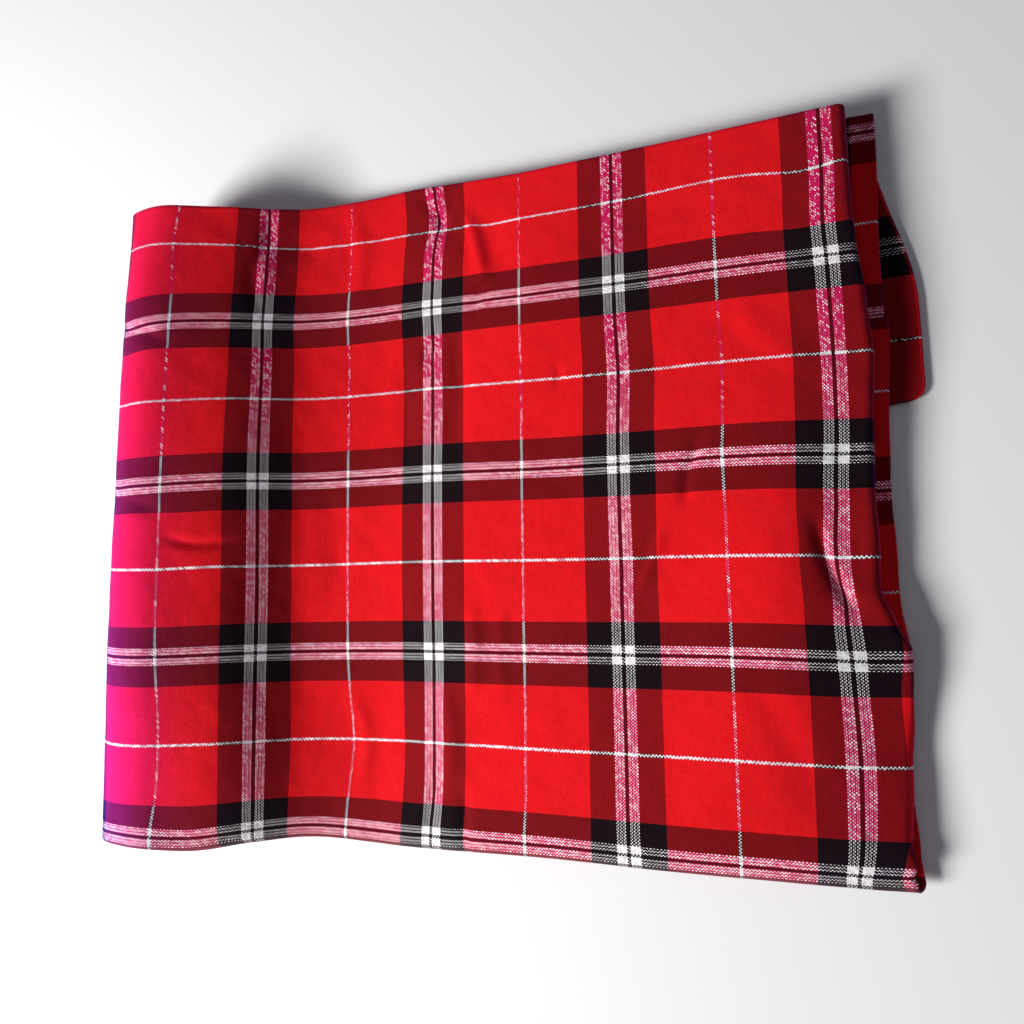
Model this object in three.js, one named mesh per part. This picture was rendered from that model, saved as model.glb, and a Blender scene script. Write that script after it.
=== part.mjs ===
import * as THREE from "three";

// A woven check blanket, folded in three from front to back and then in half from side to side.
// Millimetres. X runs across the folded blanket, Y from the front fold to the back, Z up.
const clothThick = 2;
const layerStep = 4;
const upperRun = 755;
const lowerRun = 720;
const frontY = -298;
const frontRadius = 3.2;
const frontBulgeRun = 55;
const hemY = 323;
const hemSkew = 0.012;
const backFoldY = 300;
const backFoldSkew = 0.046;
const backRadius = 2.4;
const sideFoldRadius = 42;
const floorHeight = clothThick / 2 + layerStep;

// How far the second panel and the short flap under it stray sideways from the top panel.
const secondStrays = [
  { y: -298, by: 0 },
  { y: -270, by: -6 },
  { y: -220, by: -10 },
  { y: -150, by: -9 },
  { y: -60, by: -6 },
  { y: 60, by: -4 },
  { y: 160, by: -2.5 },
  { y: 325, by: 0.5 },
];
const flapInset = -7.7;
const flapInsetRun = 15;
const flapSweep = 35;
const flapSweepRun = 170;
const flapReach = 882;

// The free edge of the top panel turns down, a little in front and most at the back.
const edgeRadius = 6;
const edgeTurnMost = 80;
const edgeTurns = [
  { y: -298, by: 7 },
  { y: -150, by: 5 },
  { y: -110, by: 11 },
  { y: -65, by: 20 },
  { y: 60, by: 20 },
  { y: 120, by: 17 },
  { y: 210, by: 24 },
  { y: 300, by: 27 },
];

// The side view of the middle layer, from the middle of the side fold, a row for each stretch.
const upperSection = [
  { part: "crown", run: 66, turn: -90 },
  { part: "shoulder", run: 22, turn: -21 },
  { part: "upper slope", run: 50, turn: 0 },
  { part: "brow", run: 30, turn: -7 },
  { part: "lower slope", run: 38, turn: 0 },
  { part: "foot", run: 25, turn: 11 },
  { part: "valley", run: 80, turn: 17.3 },
  { part: "top", run: 560, turn: 0 },
];
const lowerSection = [
  { part: "under", run: 66, turn: 90 },
  { part: "floor", run: 900, turn: 0 },
];

// The free ends of the layers fan open to the right.
const fanStart = 315;
const fanEnd = 760;
const topLayerLift = 17;
const flapDrop = 1.9;

// Close to the front fold the top panel rolls down and loses a share of its lift.
const frontRoll = 0.55;
const frontRollRun = 32;

// The ends of the second panel and the flap hang over the end of the half under them.
const endDroop = 7.5;
const endFrom = 680;
const endRun = 85;

// Soft unevenness of the upper half: where it is along the strip and front to back, and how far it
// reaches and rises.
const upperRelief = [
  { part: "front end of the side fold", at: 70, y: -310, reachAt: 150, reachY: 120, rise: -15 },
  { part: "back end of the side fold", at: 70, y: 335, reachAt: 130, reachY: 95, rise: -12 },
  { part: "front of the valley", at: 290, y: -200, reachAt: 120, reachY: 115, rise: -7 },
  { part: "front of the top", at: 520, y: -170, reachAt: 130, reachY: 110, rise: -2.5 },
  { part: "front right corner", at: 775, y: -320, reachAt: 170, reachY: 110, rise: -6 },
  { part: "slope ripple", at: 150, y: 60, reachAt: 60, reachY: 90, rise: 4 },
  { part: "slope hollow", at: 205, y: -60, reachAt: 45, reachY: 120, rise: -4 },
  { part: "back of the slope", at: 170, y: 230, reachAt: 60, reachY: 150, rise: -3 },
  { part: "front of the slope", at: 150, y: -225, reachAt: 55, reachY: 100, rise: 3.5 },
];

// The top layer alone, where it stands away from the layers under it.
const topRelief = [
  { part: "back edge", at: 600, y: 350, reachAt: 170, reachY: 70, rise: -3 },
  { part: "front right corner", at: 765, y: -320, reachAt: 120, reachY: 90, rise: -4 },
  { part: "swell behind the front fold", at: 655, y: -60, reachAt: 48, reachY: 130, rise: 4 },
  { part: "tuck at the right edge", at: 725, y: -20, reachAt: 26, reachY: 60, rise: -3.5 },
  { part: "back swell", at: 470, y: 190, reachAt: 70, reachY: 80, rise: 2.5 },
  { part: "front of the hanging free edge", at: 800, y: -190, reachAt: 90, reachY: 95, rise: -24 },
  { part: "middle of the hanging free edge", at: 765, y: 0, reachAt: 58, reachY: 160, rise: -8 },
];

const upperColumns = [
  { to: 66, count: 7 },
  { to: 88, count: 2 },
  { to: 206, count: 6 },
  { to: 311, count: 6 },
  { to: 680, count: 7 },
  { to: 710, count: 2 },
  { to: 726, count: 1 },
  { to: upperRun, count: 6 },
];
const lowerColumns = [
  { to: 66, count: 6 },
  { to: lowerRun, count: 5 },
];
const panelRows = [
  { panel: "top", count: 13 },
  { panel: "frontFold", count: 7 },
  { panel: "second", count: 12 },
  { panel: "backFold", count: 6 },
  { panel: "flap", count: 7 },
];

const radians = (degrees) => (degrees * Math.PI) / 180;
const mix = (a, b, f) => a + (b - a) * f;
const clamp = (f) => Math.min(1, Math.max(0, f));
const smooth = (f) => clamp(f) * clamp(f) * (3 - 2 * clamp(f));

function walk(rows, heading, distance) {
  const at = { x: -sideFoldRadius, z: floorHeight + sideFoldRadius, heading };
  let left = distance;
  for (const row of rows) {
    const run = Math.min(left, row.run);
    const turn = radians(row.turn) * (run / row.run);
    if (row.turn === 0) {
      at.x += run * Math.cos(at.heading);
      at.z += run * Math.sin(at.heading);
    } else {
      const radius = row.run / radians(row.turn);
      at.x += radius * (Math.sin(at.heading + turn) - Math.sin(at.heading));
      at.z -= radius * (Math.cos(at.heading + turn) - Math.cos(at.heading));
    }
    at.heading += turn;
    left -= run;
    if (left <= 0) break;
  }
  return at;
}

function section(along) {
  if (along >= 0) return walk(upperSection, Math.PI / 2, along);
  const at = walk(lowerSection, -Math.PI / 2, -along);
  at.heading += Math.PI;
  return at;
}

function bumps(table, along, y) {
  let sum = 0;
  for (const row of table) {
    const a = (along - row.at) / row.reachAt;
    const b = (y - row.y) / row.reachY;
    sum += row.rise * Math.exp(-a * a - b * b);
  }
  return sum;
}

function fan(along) {
  const f = clamp((along - fanStart) / (fanEnd - fanStart));
  return (1.18 * f * f) / (f + 0.18);
}

function between(rows, y) {
  const after = rows.findIndex((row) => row.y > y);
  if (after < 1) return after === 0 ? rows[0].by : rows[rows.length - 1].by;
  const from = rows[after - 1];
  const to = rows[after];
  return mix(from.by, to.by, smooth((y - from.y) / (to.y - from.y)));
}

// The turned free edge of the top panel: how far along its cloth then lies and how far it drops.
function turnedEdge(run, y) {
  const start = upperRun - between(edgeTurns, y);
  const past = Math.max(0, run - start);
  const most = radians(edgeTurnMost);
  const angle = Math.min(past / edgeRadius, most);
  const rest = Math.max(0, past - edgeRadius * most);
  return {
    along: Math.min(run, start) + edgeRadius * Math.sin(angle) + rest * Math.cos(most),
    drop: edgeRadius * (1 - Math.cos(angle)) + rest * Math.sin(most),
  };
}

// A place on the cloth before the side fold: along the strip, front to back, and through the layers.
function layered(run, panel, f) {
  const open = fan(run);
  const backY = backFoldY + backFoldSkew * run;
  const turnY = backY - backRadius;
  const startY = frontY + frontRadius * (1 + 1.1 * open);
  const upper = smooth(run / 60);
  const roll = (y) => frontRoll * clamp(1 - (y - startY) / frontRollRun) ** 2;
  const lift = (y) => topLayerLift * open * (1 - roll(y)) + upper * bumps(topRelief, run, y);
  const foldUnder = layerStep - 2 * frontRadius;
  const evenEdge = Math.PI / 2;
  const flapLevel = -layerStep - flapDrop * open;
  const half = (1 - Math.cos(Math.PI * f)) / 2;
  if (panel === "top") {
    const y = mix(hemY + hemSkew * run, startY, f);
    const edge = turnedEdge(run, y);
    return { along: edge.along, y, through: layerStep + lift(y) - edge.drop };
  }
  if (panel === "frontFold") {
    const y = startY - (startY - frontY) * Math.sin(Math.PI * f);
    return { along: run, y, through: mix(layerStep + lift(startY), foldUnder, half) };
  }
  if (panel === "second") {
    const g = f * f * (1.6 - 0.6 * f);
    const y = mix(startY, turnY, g);
    const level = smooth((y - startY) / frontBulgeRun);
    return { along: run + between(secondStrays, y), y, through: foldUnder * (1 - level) };
  }
  if (panel === "backFold") {
    const y = turnY + backRadius * Math.sin(Math.PI * f);
    const through = mix(0, flapLevel, half);
    const along = run + between(secondStrays, turnY) + upper * evenEdge * Math.max(through, -layerStep);
    return { along, y, through };
  }
  const reach = (flapReach - (backY - frontY)) * f;
  const inset = flapInset * (1 - Math.exp(-reach / flapInsetRun));
  const stray = inset + flapSweep * smooth(reach / flapSweepRun) - upper * evenEdge * layerStep;
  return { along: run + between(secondStrays, turnY) + stray, y: turnY - reach, through: flapLevel };
}

function hang(panel, along, y) {
  if (panel === "top" || panel === "frontFold") return 0;
  const level = smooth((y - frontY - 2 * frontRadius) / frontBulgeRun);
  return endDroop * level * smooth((along - endFrom) / endRun);
}

// The same place after the side fold. Outer layers use up more cloth round the bend.
function place(run, panel, f) {
  const flat = layered(run, panel, f);
  const bend = Math.PI / 2 - section(flat.along).heading;
  const layer = panel === "top" ? layerStep : Math.min(layerStep, Math.max(-layerStep, flat.through));
  const along = flat.along - layer * bend;
  const at = section(along);
  const rise = smooth(along / 60) * bumps(upperRelief, along, flat.y);
  const x = at.x - flat.through * Math.sin(at.heading);
  const z = at.z + flat.through * Math.cos(at.heading) + rise - hang(panel, flat.along, flat.y);
  return new THREE.Vector3(x, flat.y, z);
}

function clothNormal(run, panel, f) {
  const stepRun = 0.2;
  const stepF = 0.001;
  const across = place(run + stepRun, panel, f).sub(place(run - stepRun, panel, f));
  const fTo = Math.min(1, f + stepF);
  const fFrom = Math.max(0, f - stepF);
  const down = place(run, panel, fTo).sub(place(run, panel, fFrom));
  return down.cross(across).normalize();
}

function columnRuns() {
  const runs = [];
  let from = lowerRun;
  for (const row of [...lowerColumns].reverse()) {
    const next = lowerColumns[lowerColumns.indexOf(row) - 1];
    const to = next ? next.to : 0;
    for (let k = 0; k < row.count; k++) runs.push(-mix(from, to, k / row.count));
    from = to;
  }
  from = 0;
  for (const row of upperColumns) {
    for (let k = 0; k < row.count; k++) runs.push(mix(from, row.to, k / row.count));
    from = row.to;
  }
  runs.push(upperRun);
  return runs;
}

function rowSpots() {
  const spots = [];
  for (const row of panelRows) {
    for (let k = 0; k < row.count; k++) spots.push({ panel: row.panel, f: k / row.count });
  }
  spots.push({ panel: "flap", f: 1 });
  return spots;
}

function clothGeometry() {
  const runs = columnRuns();
  const spots = rowSpots();
  const points = [];
  for (const side of [0.5, -0.5]) {
    for (const spot of spots) {
      for (const run of runs) {
        const normal = clothNormal(run, spot.panel, spot.f);
        const point = place(run, spot.panel, spot.f).addScaledVector(normal, side * clothThick);
        points.push(point.x, point.y, Math.max(0, point.z));
      }
    }
  }
  const wide = runs.length;
  const deep = spots.length;
  const face = wide * deep;
  const corner = (layer, row, column) => layer * face + row * wide + column;
  const index = [];
  const quad = (a, b, c, d) => index.push(a, b, c, a, c, d);
  for (let r = 0; r + 1 < deep; r++) {
    for (let c = 0; c + 1 < wide; c++) {
      quad(corner(0, r, c), corner(0, r + 1, c), corner(0, r + 1, c + 1), corner(0, r, c + 1));
      quad(corner(1, r, c), corner(1, r, c + 1), corner(1, r + 1, c + 1), corner(1, r + 1, c));
    }
  }
  for (let c = 0; c + 1 < wide; c++) {
    const last = deep - 1;
    quad(corner(0, 0, c), corner(0, 0, c + 1), corner(1, 0, c + 1), corner(1, 0, c));
    quad(corner(0, last, c), corner(1, last, c), corner(1, last, c + 1), corner(0, last, c + 1));
  }
  for (let r = 0; r + 1 < deep; r++) {
    const last = wide - 1;
    quad(corner(0, r, 0), corner(1, r, 0), corner(1, r + 1, 0), corner(0, r + 1, 0));
    quad(corner(0, r, last), corner(0, r + 1, last), corner(1, r + 1, last), corner(1, r, last));
  }
  const geometry = new THREE.BufferGeometry();
  geometry.setAttribute("position", new THREE.Float32BufferAttribute(points, 3));
  geometry.setIndex(index);
  return geometry;
}

const geometry = clothGeometry();
geometry.computeBoundingBox();
const box = geometry.boundingBox;
geometry.translate(-(box.min.x + box.max.x) / 2, -(box.min.y + box.max.y) / 2, 0);
geometry.computeVertexNormals();

const wovenRed = new THREE.MeshStandardMaterial({ color: 0xa81a24, roughness: 0.9, metalness: 0 });
const blanket = new THREE.Mesh(geometry, wovenRed);
blanket.name = "blanket";

const group = new THREE.Group();
group.add(blanket);

export default group;
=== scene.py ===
import math
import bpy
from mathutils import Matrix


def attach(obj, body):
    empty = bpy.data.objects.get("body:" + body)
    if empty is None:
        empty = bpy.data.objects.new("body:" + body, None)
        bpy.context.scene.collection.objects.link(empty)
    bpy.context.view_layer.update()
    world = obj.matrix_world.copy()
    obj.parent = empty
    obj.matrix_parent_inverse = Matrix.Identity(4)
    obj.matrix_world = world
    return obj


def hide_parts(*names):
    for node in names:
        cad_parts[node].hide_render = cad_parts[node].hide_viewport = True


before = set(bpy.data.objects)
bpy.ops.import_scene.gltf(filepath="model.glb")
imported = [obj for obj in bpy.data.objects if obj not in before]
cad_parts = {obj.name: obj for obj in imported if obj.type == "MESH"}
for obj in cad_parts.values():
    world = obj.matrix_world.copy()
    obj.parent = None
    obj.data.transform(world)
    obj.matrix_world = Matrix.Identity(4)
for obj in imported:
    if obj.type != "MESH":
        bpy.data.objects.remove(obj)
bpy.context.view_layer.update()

from types import SimpleNamespace

import bpy
import numpy as np
from mathutils import Vector

print("frame loaded:", sorted(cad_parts))

# The camera stands above the right half, as in the photograph
photoView = {
    "place": (0.2139, -0.0952, 0.6710),
    "turn": (6.53, 16.146, -0.593),  # degrees
    "lens": 26.37,
    "sensor": 36.0,
    "nearest": 0.01,
}


def makeCamera():
    lens = bpy.data.cameras.new("photoCamera")
    lens.sensor_width = photoView["sensor"]
    lens.lens = photoView["lens"]
    lens.clip_start = photoView["nearest"]
    eye = bpy.data.objects.new("photoCamera", lens)
    eye.location = photoView["place"]
    eye.rotation_euler = [math.radians(a) for a in photoView["turn"]]
    bpy.context.scene.collection.objects.link(eye)
    bpy.context.scene.camera = eye


makeCamera()
print("camera set")

# The blanket, in millimetres. It is folded in three from front to back (top, second and flap),
# then in half from side to side. run is measured across the cloth's width from the side fold,
# y from front to back.
cloth = {
    "thick": 1.5,
    "edgeBead": 0.35,  # how much fuller the woven edges are
    "edgeBeadReach": 3.0,
    "layerStep": 4.0,
    "upperRun": 755.0,
    "lowerRun": 720.0,
    "upperBlend": 60.0,  # run in which the upper half's own shape sets in
    "frontY": -298.0,
    "frontRadius": 3.2,
    "frontOpen": 1.1,  # how much rounder the front fold gets where the layers fan open
    "frontBulgeRun": 55.0,
    "frontRoll": 0.55,  # share of the top layer's lift that it loses over the front fold
    "frontRollRun": 32.0,
    "hemY": 323.0,
    "hemSkew": 0.012,
    "backFoldY": 300.0,
    "backFoldSkew": 0.046,
    "backRadius": 2.4,
    "sideFoldRadius": 42.0,
    "sideFoldRun": 70.0,
    "floorHeight": 5.0,
    "pressed": 0.25,  # how far the lowest cloth is pressed flat on the floor
    "tuckY": 154.0,  # a tuck across the second layer
    "tuckStep": 2.5,
    "tuckEdge": 5.0,
    "tuckReach": 90.0,
    "tuckFade": 80.0,
    "slack": (3.6, 21.5, 40.0),  # cloth taken up out of sight: in front of the tuck, behind it, in the flap
    "slackEdge": (-4.0, 6.0),  # from where at the tuck, and over how far
    "slackRows": 4,  # rows of the back fold in which the last of it sets in
    "flapInset": -7.7,
    "flapInsetRun": 15.0,
    "flapSweep": 33.0,
    "flapSweepRun": 170.0,
    "flapReach": 882.0,
    "flapCorner": 13.0,
    "flapCornerRun": 40.0,
    "edgeRadius": 6.0,
    "edgeTurn": 80.0,
    "fanStart": 315.0,
    "fanEnd": 760.0,
    "fanBend": 0.18,
    "topLift": 17.0,
    "flapDrop": 1.9,
    # the free edge isn't quite along the stripes: by how much, from which run and over how far
    "secondDrift": (11.0, 560.0, 190.0),
    "flapDrift": (-7.0, 726.0, 29.0),
    "driftReach": 200.0,
    "endDroop": 7.5,  # the ends of the lower layers hang down towards the half under them
    "endFrom": 680.0,
    "endRun": 85.0,
    "creaseLean": 1.65,
    "creaseEnd": 0.25,  # share of a crease's length in which it fades past its ends
    "creaseDraw": 0.5,
    "creaseDrawReach": 4,  # crease widths
    "cockleLift": 0.4,
    "giveWay": 1.2,  # crease depth that the layers under the top don't feel
    "frameShift": (327.88, 18.31),  # from the side fold's own zero to the frame
    "upperColumns": 240,
    "floorColumns": 14,
    "bendColumns": 16,
    "panelRows": {"top": 198, "frontFold": 14, "second": 36, "backFold": 8, "flap": 20},
    "tuckRows": (-5.0, -2.5, 0.0, 2.5),  # more rows round the tuck
    "cornerRows": (0.962, 0.976, 0.987, 0.995),  # and at the flap's round corner
}

# Side view of the middle layer from the middle of the side fold: length and turn of each stretch
upperSection = [(66, -90), (22, -21), (50, 0), (30, -7), (38, 0), (25, 11), (80, 17.3), (560, 0)]
lowerSection = [(66, 90), (900, 0)]

# Soft unevenness of the upper half: run, y, reach in run, reach in y, rise
upperRelief = [
    (70, -310, 150, 120, -15),  # front end of the side fold
    (70, 335, 130, 95, -12),  # back end of the side fold
    (290, -200, 120, 115, -7),
    (520, -170, 130, 110, -2.5),
    (775, -320, 170, 110, -6),  # front right corner
    (150, 60, 60, 90, 4),
    (205, -60, 45, 120, -4),
    (170, 230, 60, 150, -3),
    (150, -225, 55, 100, 3.5),
]
topRelief = [
    (600, 350, 170, 70, -3),
    (765, -320, 120, 90, -4),
    (655, -60, 48, 130, 4),
    (725, -20, 26, 60, -3.5),
    (470, 190, 70, 80, 2.5),
    (800, -190, 90, 95, -24),  # the free edge hangs a little
    (765, 0, 58, 160, -8),
]

# How much of the top layer's free edge is turned down: y, length
edgeTurns = [
    (-300, 10), (-281, 2), (-262, 11), (-207, 10), (-146, 2), (-117, 8), (-97, 14), (-64, 19), (0, 18),
    (62, 18), (120, 15), (165, 18), (212, 22), (290, 25),
]

# How far the second layer strays sideways from the top: y, shift
secondStrays = [(-298, 0), (-270, -6), (-220, -10), (-150, -9), (-60, -6), (60, -4), (160, -2.5), (325, 0.5)]

# How the cloth has crept as it was laid down: run, y, reach in run, reach in y, shift in run, in y
creep = [
    (90, 60, 60, 260, 0, -3.5),
    (340, 120, 110, 200, 0, 4.0),
    (735, -60, 70, 260, 0, -3.2),
    (380, 300, 320, 40, 0, -5.5),
    (100, 285, 50, 40, -4.5, 0),
    (365, 292, 45, 26, 4.5, 0),
    (270, 200, 110, 35, -3.0, 0),
    (580, 120, 120, 40, 2.4, 0),
    (705, -45, 50, 35, -4.2, 0),
    (712, 10, 45, 34, -3.0, 0),
    (712, -95, 40, 25, -1.2, 0),
    (720, 235, 45, 30, -1.6, 0),
    (275, -205, 50, 45, 6.0, 0),
    (95, -190, 50, 50, 4.0, 0),
    (95, -290, 40, 30, -6.0, 0),
    (400, -290, 70, 30, -3.8, 0),
    (165, 0, 70, 420, 2.0, 0),
    (45, 190, 42, 70, 0, -7.5),
    (627, 262, 70, 40, 0, 3.5),
    (697, 270, 30, 40, 0, -5.5),
    (45, 60, 40, 60, 0, -3.0),
    (170, 190, 110, 50, 0, -2.6),
    (752, -112, 22, 26, 7.0, 0),
    (752, -40, 22, 30, 3.4, 0),
    (745, -200, 40, 70, 6.5, 0),
    (750, -298, 40, 25, -5.0, 0),
    (128, -300, 32, 40, 0, -4.5),
    (240, -300, 55, 45, 0, 4.0),
    (470, -300, 80, 45, 0, 2.2),
    (190, 320, 60, 40, 0, -3.0),
    (340, 320, 60, 40, 0, 4.0),
]

# Creases in the top layer: run and y at both ends, bow, width, rise, lean, draw.
# lean tips one side up and the other down, draw pulls the cloth in from both sides.
creases = [
    (354, 316, 381, 276, 0, 7, -2.0, 0.8, 1.5),  # crossed pinch at the back
    (382, 316, 355, 278, 0, 7, -2.0, -0.8, 1.5),
    (352, 150, 374, 178, 2, 8, -1.6, 1.4, 1.5),
    (394, 292, 412, 226, 3, 8, 2.6, 1.5, 1.0),  # bright ridge
    (420, 290, 440, 222, -4, 20, -2.4, 0, 0),  # soft hollow beside it
    (402, 190, 414, 218, 0, 6, -2.0, 1.0, 2.0),
    (386, 182, 383, 66, 4, 9, -1.8, 0, 0.8),
    (337, 152, 337, 62, -3, 9, -1.6, 0, 0.8),
    (190, 324, 182, 268, 4, 8, -1.4, 1.0, 1.0),
    (176, 262, 186, 216, -3, 9, -1.5, 1.2, 0.5),
    (188, 284, 240, 278, 3, 13, -2.2, 0, 0),
    (272, 318, 280, 226, 5, 10, 1.2, 0.8, 0),
    (36, 206, 96, 186, 4, 8, -2.2, 1.2, 2.0),
    (42, 26, 98, 16, 5, 9, -2.4, 0.8, 1.0),
    (108, -12, 164, -16, -4, 6, -2.4, 1.0, 3.0),
    (611, 56, 597, 4, -3, 7, -2.4, 1.4, 4.0),
    (572, -20, 553, -68, 2, 6, 1.4, 1.5, 1.5),
    (400, -88, 400, -156, 2, 7, 1.6, 0.6, 0.5),
    (434, -88, 433, -154, -2, 7, 1.4, -0.6, 0.5),
    (368, -160, 372, -244, 7, 10, 1.4, 1.0, 0),
    (354, -290, 370, -232, 3, 8, -1.4, 1.0, 1.0),
    (396, -250, 398, -299, 1, 7, -2.2, 1.2, 2.0),
    (112, -284, 180, -294, 3, 7, -1.6, 1.0, 1.0),
    (702, -16, 724, -82, -3, 8, -3.4, 2.2, 5.0),  # tuck on the right stripes
    (488, 132, 487, 114, 0, 5, -1.4, 0.8, 1.0),
    (276, -170, 284, -250, 6, 9, 1.2, 0.8, 0),
    (500, 245, 610, 268, 8, 16, -1.4, 0, 0),
    (640, 170, 690, 110, -6, 14, 1.2, 0.8, 0),
    (250, 40, 262, -70, 6, 14, -1.3, 0, 0),
    (650, -150, 690, -240, 5, 14, -1.4, 0.6, 0),
]

# Slight cockle of the top layer: height, cell, slant, seed
cockles = [(0.5, 46, 0.0, 3), (0.35, 21, 0.4, 5)]


def smooth(f):
    f = np.clip(f, 0, 1)
    return f * f * (3 - 2 * f)


def mix(a, b, f):
    return a + (b - a) * f


# A value that goes softly from row to row of a table
def between(rows, at):
    places, values = np.array(rows, dtype=float).T
    k = np.clip(np.searchsorted(places, at) - 1, 0, len(places) - 2)
    return mix(values[k], values[k + 1], smooth((at - places[k]) / (places[k + 1] - places[k])))


# Even noise from a small seeded table, smooth between its points
def softNoise(x, y, cell, seed):
    size, offset = 64, 900
    table = np.random.default_rng(seed).uniform(-1, 1, (size, size))
    gx, gy = x / cell + offset, y / cell + offset
    ix, iy = np.floor(gx).astype(int), np.floor(gy).astype(int)
    fx, fy = smooth(gx - ix), smooth(gy - iy)
    ix, iy, nx, ny = ix % size, iy % size, (ix + 1) % size, (iy + 1) % size
    low = mix(table[ix, iy], table[nx, iy], fx)
    high = mix(table[ix, ny], table[nx, ny], fx)
    return mix(low, high, fy)


def walkSection(rows, heading, distance):
    x = np.full(distance.shape, -cloth["sideFoldRadius"])
    z = np.full(distance.shape, cloth["floorHeight"] + cloth["sideFoldRadius"])
    heading = np.full(distance.shape, heading)
    left = distance.copy()
    for length, degrees in rows:
        go = np.clip(left, 0, length)
        turn = math.radians(degrees) * go / length
        if degrees == 0:
            x = x + go * np.cos(heading)
            z = z + go * np.sin(heading)
        else:
            radius = length / math.radians(degrees)
            x = x + radius * (np.sin(heading + turn) - np.sin(heading))
            z = z - radius * (np.cos(heading + turn) - np.cos(heading))
        heading = heading + turn
        left = left - go
    return x, z, heading


def sideSection(along):
    up = walkSection(upperSection, math.pi / 2, np.maximum(along, 0))
    down = walkSection(lowerSection, -math.pi / 2, np.maximum(-along, 0))
    upper = along >= 0
    x = np.where(upper, up[0], down[0])
    z = np.where(upper, up[1], down[1])
    return x, z, np.where(upper, up[2], down[2] + math.pi)


def bumps(rows, along, y):
    total = 0
    for at, middle, reachAt, reachY, rise in rows:
        total = total + rise * np.exp(-((along - at) / reachAt) ** 2 - ((y - middle) / reachY) ** 2)
    return total


def fanOpen(run):
    f = np.clip((run - cloth["fanStart"]) / (cloth["fanEnd"] - cloth["fanStart"]), 0, 1)
    bend = cloth["fanBend"]
    return (1 + bend) * f * f / (f + bend)


def upperShare(run):
    return smooth(run / cloth["upperBlend"])


def turnedEdge(run, y):
    start = cloth["upperRun"] - between(edgeTurns, y)
    past = np.maximum(0, run - start)
    most = math.radians(cloth["edgeTurn"])
    angle = np.minimum(past / cloth["edgeRadius"], most)
    rest = np.maximum(0, past - cloth["edgeRadius"] * most)
    along = np.minimum(run, start) + cloth["edgeRadius"] * np.sin(angle) + rest * math.cos(most)
    return along, cloth["edgeRadius"] * (1 - np.cos(angle)) + rest * math.sin(most)


# Rise and sideways pull of all creases at a place on the top layer
def creaseField(along, y):
    rise, pullAlong, pullY = 0, 0, 0
    end = cloth["creaseEnd"]
    for fromRun, fromY, toRun, toY, bow, width, height, lean, draw in creases:
        length = math.hypot(toRun - fromRun, toY - fromY)
        tx, ty = (toRun - fromRun) / length, (toY - fromY) / length
        t = ((along - fromRun) * tx + (y - fromY) * ty) / length
        inside = np.clip(t, 0, 1)
        off = (y - fromY) * tx - (along - fromRun) * ty - bow * 4 * inside * (1 - inside)
        ends = smooth((t + end) / (2 * end)) * smooth((1 + end - t) / (2 * end))
        d = off / width
        rise = rise + ends * (height + cloth["creaseLean"] * lean * d) * np.exp(-d * d)
        reach = cloth["creaseDrawReach"] * width
        pull = -cloth["creaseDraw"] * draw * ends * np.tanh(d) * np.exp(-(off / reach) ** 2)
        pullAlong = pullAlong - pull * ty
        pullY = pullY + pull * tx
    return rise, pullAlong, pullY


# Rows of the second layer lie closer together near the front fold
def secondSpread(f):
    return f * f * (1.6 - 0.6 * f)


# A place on the cloth before the side fold: along the strip, front to back, through the layers
def layPanel(run, panel, f):
    step, frontY = cloth["layerStep"], cloth["frontY"]
    opened = fanOpen(run)
    backY = cloth["backFoldY"] + cloth["backFoldSkew"] * run
    turnY = backY - cloth["backRadius"]
    startY = frontY + cloth["frontRadius"] * (1 + cloth["frontOpen"] * opened)
    upper = upperShare(run)
    foldUnder = step - 2 * cloth["frontRadius"]
    flapLevel = -step - cloth["flapDrop"] * opened
    half = (1 - np.cos(np.pi * f)) / 2

    def lift(y):
        near = np.clip(1 - (y - startY) / cloth["frontRollRun"], 0, 1)
        rolled = cloth["topLift"] * opened * (1 - cloth["frontRoll"] * near * near)
        return rolled + upper * bumps(topRelief, run, y)

    if panel == "top":
        y = mix(cloth["hemY"] + cloth["hemSkew"] * run, startY, f)
        along, drop = turnedEdge(run, y)
        return along, y, step + lift(y) - drop
    if panel == "frontFold":
        y = startY - (startY - frontY) * np.sin(np.pi * f)
        return run + 0 * f, y, mix(step + lift(startY), foldUnder, half)
    if panel == "second":
        y = mix(startY, turnY, secondSpread(f))
        before = cloth["tuckY"] - y
        tuck = smooth(before / cloth["tuckEdge"]) * smooth((cloth["tuckReach"] - before) / cloth["tuckFade"])
        level = foldUnder * (1 - smooth((y - startY) / cloth["frontBulgeRun"]))
        return run + between(secondStrays, y), y, level - upper * cloth["tuckStep"] * tuck
    evenEdge = upper * np.pi / 2
    atBack = run + between(secondStrays, turnY)
    if panel == "backFold":
        y = turnY + cloth["backRadius"] * np.sin(np.pi * f)
        through = mix(0, flapLevel, half)
        return atBack + evenEdge * np.maximum(through, -step), y, through
    whole = cloth["flapReach"] - (backY - frontY)
    reach = whole * f
    inset = cloth["flapInset"] * (1 - np.exp(-reach / cloth["flapInsetRun"])) - evenEdge * step
    along = atBack + inset + cloth["flapSweep"] * smooth(reach / cloth["flapSweepRun"])
    corner, cornerRun = cloth["flapCorner"], cloth["flapCornerRun"]
    cut = np.clip(1 - (whole - reach) / corner, 0, 1)
    atEdge = smooth((run - cloth["upperRun"] + cornerRun) / cornerRun)
    along = along - corner * (1 - np.sqrt(1 - cut * cut)) * atEdge
    return along, turnY - reach, flapLevel + 0 * f


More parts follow.
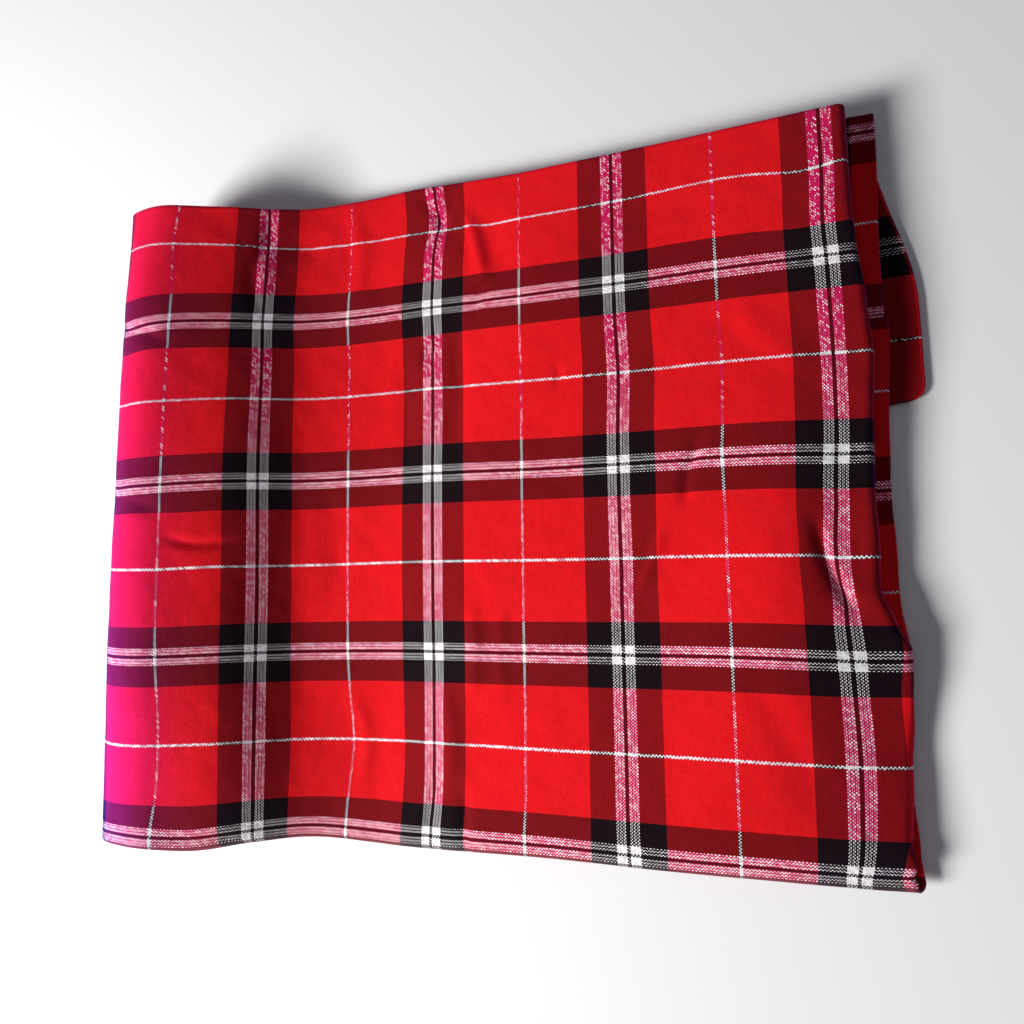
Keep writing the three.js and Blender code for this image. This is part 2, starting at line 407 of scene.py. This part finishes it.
# The small unevenness that the folds alone don't give: creep, creases and a slight cockle
def unevenPanel(panel, run, along, y, through):
    upper = upperShare(run)
    shiftAlong, shiftY = 0, 0
    for at, middle, reachAt, reachY, moveAlong, moveY in creep:
        near = np.exp(-((along - at) / reachAt) ** 2 - ((y - middle) / reachY) ** 2)
        shiftAlong = shiftAlong + moveAlong * near
        shiftY = shiftY + moveY * near
    rise, pullAlong, pullY = creaseField(along, y)
    if panel in ("top", "frontFold"):
        cockle = 0
        for height, cell, slant, seed in cockles:
            cockle = cockle + height * softNoise(along + slant * y, y, cell, seed)
        through = through + upper * (rise + cockle + cloth["cockleLift"])
        shiftAlong = shiftAlong + pullAlong
        shiftY = shiftY + pullY
    else:
        through = through + upper * np.minimum(0, rise + cloth["giveWay"])
    return along + upper * shiftAlong, y + upper * shiftY, through


def hangEnd(panel, along, y):
    if panel in ("top", "frontFold"):
        return 0
    level = smooth((y - cloth["frontY"] - 2 * cloth["frontRadius"]) / cloth["frontBulgeRun"])
    return cloth["endDroop"] * level * smooth((along - cloth["endFrom"]) / cloth["endRun"])


# The same place after the side fold. Outer layers use up more cloth round the bend
def foldSide(panel, along, y, through):
    step = cloth["layerStep"]
    layer = step if panel == "top" else np.clip(through, -step, step)
    hang = hangEnd(panel, along, y)
    along = along - layer * (math.pi / 2 - sideSection(along)[2])
    x, z, heading = sideSection(along)
    rise = upperShare(along) * bumps(upperRelief, along, y) - hang
    return np.stack([x - through * np.sin(heading), y, z + through * np.cos(heading) + rise], -1)


def clothRuns():
    bendRun = cloth["sideFoldRun"]
    floor = np.linspace(-cloth["lowerRun"], -bendRun, cloth["floorColumns"], endpoint=False)
    bend = np.linspace(-bendRun, 0, cloth["bendColumns"], endpoint=False)
    upper = np.linspace(0, cloth["upperRun"], cloth["upperColumns"] + 1)
    return np.concatenate([floor, bend, upper])[None, :]


# Rows close together where the second layer is tucked
def tuckRows():
    f = np.linspace(0.7, 0.95, 400)
    endY = cloth["backFoldY"] + cloth["backFoldSkew"] * cloth["upperRun"]
    y = mix(cloth["frontY"], endY, secondSpread(f))
    return np.interp(cloth["tuckY"] + np.array(cloth["tuckRows"]), y, f)


def panelPlaces(panel):
    last = panel == "flap"
    even = np.linspace(0, 1, cloth["panelRows"][panel] + last, endpoint=last)
    more = {"second": tuckRows(), "flap": cloth["cornerRows"]}.get(panel, ())
    return np.sort(np.concatenate([even, more]))[:, None]


# How far the check has drifted near the free edge of the lower layers
def edgeDrift(panel, run, y, f):
    def drift(name):
        by, start, reach = cloth[name]
        return by * smooth((run - start) / reach)

    if panel == "second":
        return drift("secondDrift") * smooth((y - cloth["frontY"]) / cloth["driftReach"])
    if panel == "backFold":
        return mix(drift("secondDrift"), drift("flapDrift"), f)
    return drift("flapDrift") if panel == "flap" else 0


# Cloth that is taken up out of sight before each row past the top layer
def takenUp(y, foldRows, secondRows):
    number = np.arange(1, len(y) + 1)[:, None]
    secondEnd = foldRows + secondRows
    front, behind, flap = cloth["slack"]
    start, reach = cloth["slackEdge"]
    pastTuck = np.where(number < secondEnd, smooth((y - cloth["tuckY"] - start) / reach), 1)
    slack = front * smooth(number / foldRows) + (behind - front) * pastTuck * (number > foldRows)
    return slack + (flap - behind) * smooth((number - secondEnd) / cloth["slackRows"])


# Distance from the front fold on the flat cloth, for every row
def clothDistance(laid, counts):
    topRows, foldRows, secondRows = counts[:3]
    top = laid[:topRows + 1, :, 1] - cloth["frontY"]
    steps = np.linalg.norm(np.diff(laid[topRows:], axis=0), axis=-1)
    slack = takenUp(laid[topRows + 1:, :, 1], foldRows, secondRows)
    return np.concatenate([top, top[-1] - np.cumsum(steps, axis=0) - slack])


# The middle of the sheet, its run, and the place on the woven cloth that lies there
def middleSheet():
    runs = clothRuns()
    points, spots, laid, counts = [], [], [], []
    for panel in cloth["panelRows"]:
        f = panelPlaces(panel)
        counts.append(len(f))
        along, y, through = np.broadcast_arrays(*layPanel(runs, panel, f))
        run = np.broadcast_to(runs, along.shape)
        laid.append(np.stack([along, y, through], -1))
        spots.append(run + edgeDrift(panel, run, y, f))
        points.append(foldSide(panel, *unevenPanel(panel, run, along, y, through)))
    laid = np.concatenate(laid)
    run = np.broadcast_to(runs, laid.shape[:2])
    return np.concatenate(points), run, np.concatenate(spots), clothDistance(laid, counts)


# Once round the sheet's edge, as rows and columns
def rimLoop(rows, columns):
    loop = [(0, c) for c in range(columns - 1)] + [(r, columns - 1) for r in range(rows - 1)]
    loop += [(rows - 1, c) for c in range(columns - 1, 0, -1)] + [(r, 0) for r in range(rows - 1, 0, -1)]
    return np.array(loop).T


def shellFaces(rows, columns, backShape, loopRows, loopColumns):
    faceIds = np.arange(rows * columns).reshape(rows, columns)
    backIds = rows * columns + np.arange(backShape[0] * backShape[1]).reshape(backShape)
    rimIds = rows * columns + backIds.size + np.arange(len(loopRows))

    def quads(ids):
        return np.stack([ids[:-1, :-1], ids[1:, :-1], ids[1:, 1:], ids[:-1, 1:]], -1).reshape(-1, 4)

    faces = quads(faceIds).tolist() + quads(backIds)[:, ::-1].tolist()
    faceLoop = faceIds[loopRows, loopColumns]
    nextFace, nextRim = np.roll(faceLoop, -1), np.roll(rimIds, -1)
    faces += np.stack([faceLoop, nextFace, nextRim, rimIds], -1).tolist()
    backLoop = backIds[loopRows[::2] // 2, loopColumns[::2] // 2]
    for k in range(len(backLoop)):
        a, b, c = rimIds[2 * k], rimIds[2 * k + 1], rimIds[(2 * k + 2) % len(rimIds)]
        here, there = backLoop[k], backLoop[(k + 1) % len(backLoop)]
        faces += [[a, b, here], [b, there, here], [b, c, there]]
    return faces


# A closed sheet: a fine face, a face half as fine behind it, and a rounded woven edge between them
def makeBlanket():
    middle, run, spot, cross = middleSheet()
    normal = np.cross(np.gradient(middle, axis=0), np.gradient(middle, axis=1))
    normal /= np.linalg.norm(normal, axis=-1, keepdims=True)
    rows, columns = middle.shape[:2]
    toSides = np.minimum(run + cloth["lowerRun"], cloth["upperRun"] - run)
    toEnds = np.minimum(cross.max(0) - cross, cross - cross.min(0))
    bead = np.exp(-(np.minimum(toSides, toEnds) / cloth["edgeBeadReach"]) ** 2)
    half = 0.5 * cloth["thick"] * (1 + cloth["edgeBead"] * bead)[..., None]
    face = middle + normal * half
    back = (middle - normal * half)[::2, ::2]

    loopRows, loopColumns = rimLoop(rows, columns)
    insideRows = np.clip(loopRows, 1, rows - 2)
    insideColumns = np.clip(loopColumns, 1, columns - 2)
    outward = middle[loopRows, loopColumns] - middle[insideRows, insideColumns]
    outward /= np.linalg.norm(outward, axis=-1, keepdims=True)
    rim = middle[loopRows, loopColumns] + outward * half[loopRows, loopColumns]

    points = np.concatenate([face.reshape(-1, 3), back.reshape(-1, 3), rim])
    points[:, :2] -= cloth["frameShift"]
    points[:, 2] = np.maximum(points[:, 2] - cloth["pressed"], 0)
    places = np.stack([spot, cross], -1)
    backPlaces = places[::2, ::2].reshape(-1, 2)
    places = np.concatenate([places.reshape(-1, 2), backPlaces, places[loopRows, loopColumns]])

    mesh = bpy.data.meshes.new("shuka")
    faces = shellFaces(rows, columns, back.shape[:2], loopRows, loopColumns)
    mesh.from_pydata((points / 1000).tolist(), [], faces)
    mesh.validate()
    corner = np.zeros(len(mesh.loops), dtype=np.int32)
    mesh.loops.foreach_get("vertex_index", corner)
    weaveMap = mesh.uv_layers.new(name="weavePlace")
    weaveMap.uv.foreach_set("vector", (places[corner] / 1000).astype(np.float32).ravel())
    mesh.polygons.foreach_set("use_smooth", [True] * len(mesh.polygons))
    sheet = bpy.data.objects.new("shuka", mesh)
    bpy.context.scene.collection.objects.link(sheet)
    print("blanket sheet:", sum(len(p.vertices) - 2 for p in mesh.polygons), "triangles")
    return sheet


# The woven check: a plain weave, with the check counted in threads from the middle of a white pair.
# Two values stand for the yarns along the cloth's length and those across it.
weave = {
    "threadRun": 0.176 / 124,  # metres
    "threadCross": 0.163 / 124,
    "firstRun": 0.7154,
    "firstCross": 0.011,
    "halfRepeat": 62,
    "blackHalf": (22, 21),
    "whiteFrom": 1,
    "whiteTo": (7, 6),
    "thinHalf": 1,
    "red": (0.84, 0.0088, 0.013),
    "black": (0.009, 0.004, 0.006),
    "white": (0.93, 0.91, 0.93),
    "shadedRose": (0.68, 0.014, 0.112),  # red beside white, darkened as painted shade from the fuller white yarns
    "thinShadedRose": 0.5,  # share of that in the thin lines along the cloth
    "yarnHigh": 0.8,
    "yarnRound": -2.9,
    "blackBulk": (1.10, 1.60),  # how far a fuller yarn covers a thinner one
    "whiteBulk": (-1.72, -1.35),
    "thinBulk": (-2.10, 0.80),
    "gapBulk": (1.2, 1.2),  # the black yarns between the two whites
    "pairing": (0.5, 1.1),  # white yarns lie in pairs
    "mostCover": 2.2,  # limit to how far one yarn covers another
    "moreWhite": (0.40, 0.33),  # how much more of the white that limit leaves, and more still on black
    "moreThin": (-0.15, 0.45),  # the same in the thin lines along the cloth
    "backFrom": 0.31,  # towards the back less white shows, metres from the front fold
    "backReach": 0.21,
    "foldFrom": -0.02,  # and also past the front fold
    "backLess": (0.34, 0.20, 0.90),  # along the cloth, across it, and in the thin lines across it
    "bandBlend": 0.8,  # how far red and black yarns run together to the eye
    "bandLean": 0.16,
    "slubLong": 2.0,  # threads
    "slubWide": 1.5,
    "slubStagger": 0.41,
    "slubCover": 2.0,
    "slubPale": (0.14, 0.45),  # change of shade in all yarns, and more in the white
    "slubSeed": (3.0, 811.0),
    "shade": (9, 4, 0.22, 0.89),  # slow changes: scale, detail, span, least
    "paintedGrooveShade": (0.22, 0.62),  # painted shade between the yarns: span, least
    "worn": (0.75, 0.55, 0.55),
    "wornShare": 0.16,
    "frontWorn": 0.006,  # metres
    "sideWorn": 0.02,
    "specular": 0.06,
    "sheen": 0.28,
    "sheenRough": 0.35,
    "sheenTint": (0.55, 0.08, 1.0),
    "paintedHighlight": (0.0, 0.0, 0.19),  # painted highlight: a magenta glow of the cloth along the side fold
    "paintedHighlightRun": 0.035,
    "paintedHighlightReach": 0.055,
    "paintedHighlightFall": -1.25,  # weaker towards the back
    "paintedHighlightUneven": (0.6, 0.7),  # span, least
    "paintedHighlightOnBlack": -0.40,
    "fuzz": (420, 3, 0.00012),  # scale, detail, height in metres
    "fuzzRough": (0.22, 0.76),  # span, least
    "pucker": (60, 2, 0.0010),
    "threadHigh": 0.00007,
    "reliefStrength": 0.8,
}


def weaveNodes(tree):
    nodes, links = tree.nodes, tree.links

    def put(socket, value):
        if isinstance(value, bpy.types.NodeSocket):
            links.new(value, socket)
        else:
            socket.default_value = value

    def maths(operation, *values):
        node = nodes.new("ShaderNodeMath")
        node.operation = operation
        for socket, value in zip(node.inputs, values):
            put(socket, value)
        return node.outputs[0]

    def scaled(value, by, plus):
        return maths("MULTIPLY_ADD", value, by, plus)

    def opposite(value):
        return maths("SUBTRACT", 1.0, value)

    def bell(value, middle, reach):
        off = maths("DIVIDE", maths("SUBTRACT", value, middle), reach)
        return maths("POWER", math.e, maths("MULTIPLY", maths("MULTIPLY", off, off), -1.0))

    def blend(share, first, second, kind="MIX"):
        node = nodes.new("ShaderNodeMix")
        node.data_type = "RGBA"
        node.blend_type = kind
        put(node.inputs["Factor"], share)
        put(node.inputs["A"], first if isinstance(first, bpy.types.NodeSocket) else (*first, 1))
        put(node.inputs["B"], second if isinstance(second, bpy.types.NodeSocket) else (*second, 1))
        return node.outputs["Result"]

    def noise(where, scale, detail):
        node = nodes.new("ShaderNodeTexNoise")
        node.inputs["Scale"].default_value = scale
        node.inputs["Detail"].default_value = detail
        links.new(where, node.inputs["Vector"])
        return node.outputs["Fac"]

    return SimpleNamespace(
        nodes=nodes,
        links=links,
        maths=maths,
        scaled=scaled,
        opposite=opposite,
        bell=bell,
        blend=blend,
        noise=noise,
    )


# Short lengths of a yarn that are fuller and paler or thinner and darker, from 0.5 to -0.5
def slubs(kit, number, other, way):
    maths = kit.maths
    across = maths("DIVIDE", maths("ADD", number, weave["slubSeed"][way]), weave["slubWide"])
    length = kit.scaled(number, weave["slubStagger"], maths("DIVIDE", other, weave["slubLong"]))
    spot = kit.nodes.new("ShaderNodeCombineXYZ")
    kit.links.new(maths("FLOOR", across), spot.inputs["X"])
    kit.links.new(maths("FLOOR", length), spot.inputs["Y"])
    random = kit.nodes.new("ShaderNodeTexWhiteNoise")
    random.noise_dimensions = "2D"
    kit.links.new(spot.outputs[0], random.inputs["Vector"])
    return maths("SUBTRACT", random.outputs["Value"], 0.5)


# One set of yarns: thread number, height across the thread, colour and bulk
def yarnSet(kit, count, other, way):
    maths, scaled, blend = kit.maths, kit.scaled, kit.blend
    number = maths("FLOOR", count)
    inside = maths("SUBTRACT", maths("SUBTRACT", count, number), 0.5)
    half = weave["halfRepeat"]
    apart = maths("ABSOLUTE", maths("WRAP", maths("ADD", number, 0.5), half, -half))
    black = maths("LESS_THAN", apart, weave["blackHalf"][way])
    pastGap = maths("GREATER_THAN", apart, weave["whiteFrom"])
    pair = maths("MULTIPLY", pastGap, maths("LESS_THAN", apart, weave["whiteTo"][way]))
    thin = maths("GREATER_THAN", apart, half - weave["thinHalf"])
    white = maths("MAXIMUM", pair, thin)
    dark = maths("MULTIPLY", black, kit.opposite(white))
    full = slubs(kit, number, other, way)
    allPale, whitePale = weave["slubPale"]
    bulk = maths("MULTIPLY", dark, weave["blackBulk"][way])
    bulk = scaled(maths("LESS_THAN", apart, weave["whiteFrom"]), weave["gapBulk"][way], bulk)
    bulk = scaled(pair, weave["whiteBulk"][way], bulk)
    bulk = scaled(thin, weave["thinBulk"][way], bulk)
    bulk = scaled(maths("MULTIPLY", full, white), weave["slubCover"], bulk)
    pairLine = maths("COSINE", maths("MULTIPLY", count, math.pi))
    return {
        "number": number,
        "colour": blend(white, blend(black, weave["red"], weave["black"]), weave["white"]),
        "white": white,
        "thin": thin,
        "dark": dark,
        "value": scaled(full, scaled(white, whitePale, allPale), 1.0),
        "bulk": bulk,
        "crown": scaled(maths("MULTIPLY", inside, inside), weave["yarnRound"], weave["yarnHigh"]),
        "paired": maths("MULTIPLY", pairLine, maths("MULTIPLY", white, weave["pairing"][way])),
    }


# How far the yarns along the cloth cover those across it
def yarnCover(kit, warp, weft, cross):
    maths, scaled = kit.maths, kit.scaled
    moreWhite, moreOnBlack = weave["moreWhite"]
    moreThin, thinOnBlack = weave["moreThin"]
    least = scaled(warp["white"], scaled(weft["dark"], moreOnBlack, moreWhite), -weave["mostCover"])
    least = scaled(warp["thin"], scaled(weft["dark"], thinOnBlack, moreThin), least)
    most = scaled(weft["white"], -moreWhite, weave["mostCover"])
    cover = maths("SUBTRACT", warp["bulk"], weft["bulk"])
    cover = maths("MAXIMUM", maths("MINIMUM", cover, most), least)
    cover = maths("ADD", cover, maths("SUBTRACT", warp["paired"], weft["paired"]))

    atBack = kit.nodes.new("ShaderNodeMapRange")
    atBack.interpolation_type = "SMOOTHSTEP"
    atBack.inputs["From Min"].default_value = weave["backFrom"]
    atBack.inputs["From Max"].default_value = weave["backFrom"] + weave["backReach"]
    kit.links.new(cross, atBack.inputs["Value"])
    where = maths("MAXIMUM", atBack.outputs["Result"], maths("LESS_THAN", cross, weave["foldFrom"]))
    lessAlong, lessAcross, lessThin = weave["backLess"]
    overRed = maths("MULTIPLY", warp["white"], kit.opposite(weft["dark"]))
    lessWhite = scaled(weft["thin"], lessThin, maths("MULTIPLY", weft["white"], lessAcross))
    return scaled(where, scaled(overRed, -lessAlong, lessWhite), cover)


# Slow changes of shade, painted shade between the yarns, a paler worn line along the front and side folds,
# and a painted magenta highlight along the side fold
def wornAndPaintedLight(kit, yarn, value, dark, threadHigh, place, run, cross):
    maths, scaled = kit.maths, kit.scaled
    scale, detail, span, least = weave["shade"]
    shade = kit.noise(place, scale, detail)
    tone = maths("MULTIPLY", value, scaled(shade, span, least))
    # painted shade: darker where the yarns dip between their neighbours
    tone = maths("MULTIPLY", tone, scaled(threadHigh, *weave["paintedGrooveShade"]))
    toned = kit.nodes.new("ShaderNodeVectorMath")
    toned.operation = "SCALE"
    kit.links.new(yarn, toned.inputs[0])
    kit.links.new(tone, toned.inputs["Scale"])
    frontLine = kit.bell(cross, 0.0, weave["frontWorn"])
    sideLine = kit.bell(run, 0.0, weave["sideWorn"])
    worn = maths("MULTIPLY", shade, weave["wornShare"])
    worn = maths("MULTIPLY", maths("MAXIMUM", frontLine, sideLine), worn)
    faded = kit.blend(worn, toned.outputs[0], weave["worn"])
    # painted highlight: magenta on the side fold, fading towards the back and less on black
    paintedHighlight = kit.bell(run, weave["paintedHighlightRun"], weave["paintedHighlightReach"])
    paintedHighlight = maths("MULTIPLY", paintedHighlight, maths("MAXIMUM", scaled(cross, weave["paintedHighlightFall"], 1.0), 0.0))
    paintedHighlight = maths("MULTIPLY", paintedHighlight, scaled(shade, *weave["paintedHighlightUneven"]))
    paintedHighlight = maths("MULTIPLY", paintedHighlight, scaled(dark, weave["paintedHighlightOnBlack"], 1.0))
    return kit.blend(paintedHighlight, faded, weave["paintedHighlight"], "ADD")


def clothMaterial():
    material = bpy.data.materials.new("wovenCheck")
    material.use_nodes = True
    kit = weaveNodes(material.node_tree)
    nodes, links, maths, scaled, blend = kit.nodes, kit.links, kit.maths, kit.scaled, kit.blend
    shader = nodes["Principled BSDF"]
    shader.inputs["Specular IOR Level"].default_value = weave["specular"]
    shader.inputs["Sheen Weight"].default_value = weave["sheen"]
    shader.inputs["Sheen Roughness"].default_value = weave["sheenRough"]
    shader.inputs["Sheen Tint"].default_value = (*weave["sheenTint"], 1)

    place = nodes.new("ShaderNodeUVMap")
    place.uv_map = "weavePlace"
    split = nodes.new("ShaderNodeSeparateXYZ")
    links.new(place.outputs[0], split.inputs[0])
    run, cross = split.outputs["X"], split.outputs["Y"]
    runCount = maths("DIVIDE", maths("SUBTRACT", run, weave["firstRun"]), weave["threadRun"])
    crossCount = maths("DIVIDE", maths("SUBTRACT", cross, weave["firstCross"]), weave["threadCross"])
    warp = yarnSet(kit, runCount, crossCount, 0)
    weft = yarnSet(kit, crossCount, runCount, 1)

    # one over, one under
    warpWave = maths("SINE", maths("MULTIPLY", maths("ADD", crossCount, warp["number"]), math.pi))
    weftWave = maths("SINE", maths("MULTIPLY", maths("ADD", runCount, weft["number"]), math.pi))
    warpHigh = maths("ADD", warp["crown"], warpWave)
    weftHigh = maths("SUBTRACT", weft["crown"], weftWave)
    cover = yarnCover(kit, warp, weft, cross)
    warpUp = maths("GREATER_THAN", maths("ADD", warpHigh, cover), weftHigh)
    threadHigh = maths("MAXIMUM", warpHigh, weftHigh)

    def seen(what):
        return scaled(warpUp, maths("SUBTRACT", warp[what], weft[what]), weft[what])

    # red and black run together to the eye, and red beside white is turned a darker rose as painted shade
    # from the fuller white yarns
    yarn = blend(warpUp, weft["colour"], warp["colour"])
    anyWhite = maths("MAXIMUM", warp["white"], weft["white"])
    together = blend(scaled(cover, weave["bandLean"], 0.5), weft["colour"], warp["colour"])
    yarn = blend(maths("MULTIPLY", kit.opposite(anyWhite), weave["bandBlend"]), yarn, together)
    # painted shade on red yarns that show inside the white stripes
    shadedRosy = maths("MULTIPLY", anyWhite, kit.opposite(seen("white")))
    shadedRosy = maths("MULTIPLY", shadedRosy, kit.opposite(seen("dark")))
    shadedRosy = maths("MULTIPLY", shadedRosy, scaled(warp["thin"], weave["thinShadedRose"] - 1.0, 1.0))
    yarn = blend(shadedRosy, yarn, weave["shadedRose"])
    colour = wornAndPaintedLight(kit, yarn, seen("value"), seen("dark"), threadHigh, place.outputs[0], run, cross)
    links.new(colour, shader.inputs["Base Color"])

    # fuzz, slight puckers and thread relief
    fuzzScale, fuzzDetail, fuzzHigh = weave["fuzz"]
    fuzz = kit.noise(place.outputs[0], fuzzScale, fuzzDetail)
    links.new(scaled(fuzz, *weave["fuzzRough"]), shader.inputs["Roughness"])
    puckerScale, puckerDetail, puckerHigh = weave["pucker"]
    pucker = kit.noise(place.outputs[0], puckerScale, puckerDetail)
    high = scaled(fuzz, fuzzHigh, maths("MULTIPLY", threadHigh, weave["threadHigh"]))
    high = scaled(pucker, puckerHigh, high)
    relief = nodes.new("ShaderNodeBump")
    relief.inputs["Strength"].default_value = weave["reliefStrength"]
    relief.inputs["Distance"].default_value = 1.0
    links.new(high, relief.inputs["Height"])
    links.new(relief.outputs[0], shader.inputs["Normal"])
    print("woven check material:", len(nodes), "nodes")
    return material


blanket = makeBlanket()
blanket.data.materials.append(clothMaterial())
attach(blanket, "root")
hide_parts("blanket")

# Pale floor, a soft main light from the left, a weak one from above and cool light all round
studio = {
    "floorSize": 6.0,
    "floorHeight": -0.0005,
    "floorColour": (0.90, 0.90, 0.90),
    "floorRough": 0.9,
    "worldColour": (0.72, 0.78, 1.0),
    "worldLight": 0.08,
    # name, place, size, power, colour
    "lamps": [
        ("leftLamp", (-2.03, -1.05, 1.51), 0.9, 127, (1.0, 0.98, 0.97)),
        ("topLamp", (0.10, -0.10, 1.70), 1.3, 2, (1.0, 0.99, 0.98)),
    ],
}


def makeFloor():
    side = studio["floorSize"] / 2
    mesh = bpy.data.meshes.new("floor")
    corners = [(-side, -side, 0), (side, -side, 0), (side, side, 0), (-side, side, 0)]
    mesh.from_pydata(corners, [], [(0, 1, 2, 3)])
    floor = bpy.data.objects.new("floor", mesh)
    floor.location.z = studio["floorHeight"]
    bpy.context.scene.collection.objects.link(floor)
    pale = bpy.data.materials.new("paleFloor")
    pale.use_nodes = True
    shader = pale.node_tree.nodes["Principled BSDF"]
    shader.inputs["Base Color"].default_value = (*studio["floorColour"], 1)
    shader.inputs["Roughness"].default_value = studio["floorRough"]
    mesh.materials.append(pale)


def makeLight():
    world = bpy.data.worlds.new("softRoom")
    world.use_nodes = True
    room = world.node_tree.nodes["Background"]
    room.inputs["Color"].default_value = (*studio["worldColour"], 1)
    room.inputs["Strength"].default_value = studio["worldLight"]
    bpy.context.scene.world = world
    for name, place, size, power, colour in studio["lamps"]:
        light = bpy.data.lights.new(name, "AREA")
        light.size = size
        light.energy = power
        light.color = colour
        lamp = bpy.data.objects.new(name, light)
        lamp.location = place
        lamp.rotation_euler = (-Vector(place)).to_track_quat("-Z", "Y").to_euler()
        bpy.context.scene.collection.objects.link(lamp)
    bpy.context.scene.view_settings.view_transform = "Standard"


makeFloor()
makeLight()
print("studio set:", len(studio["lamps"]), "lamps")
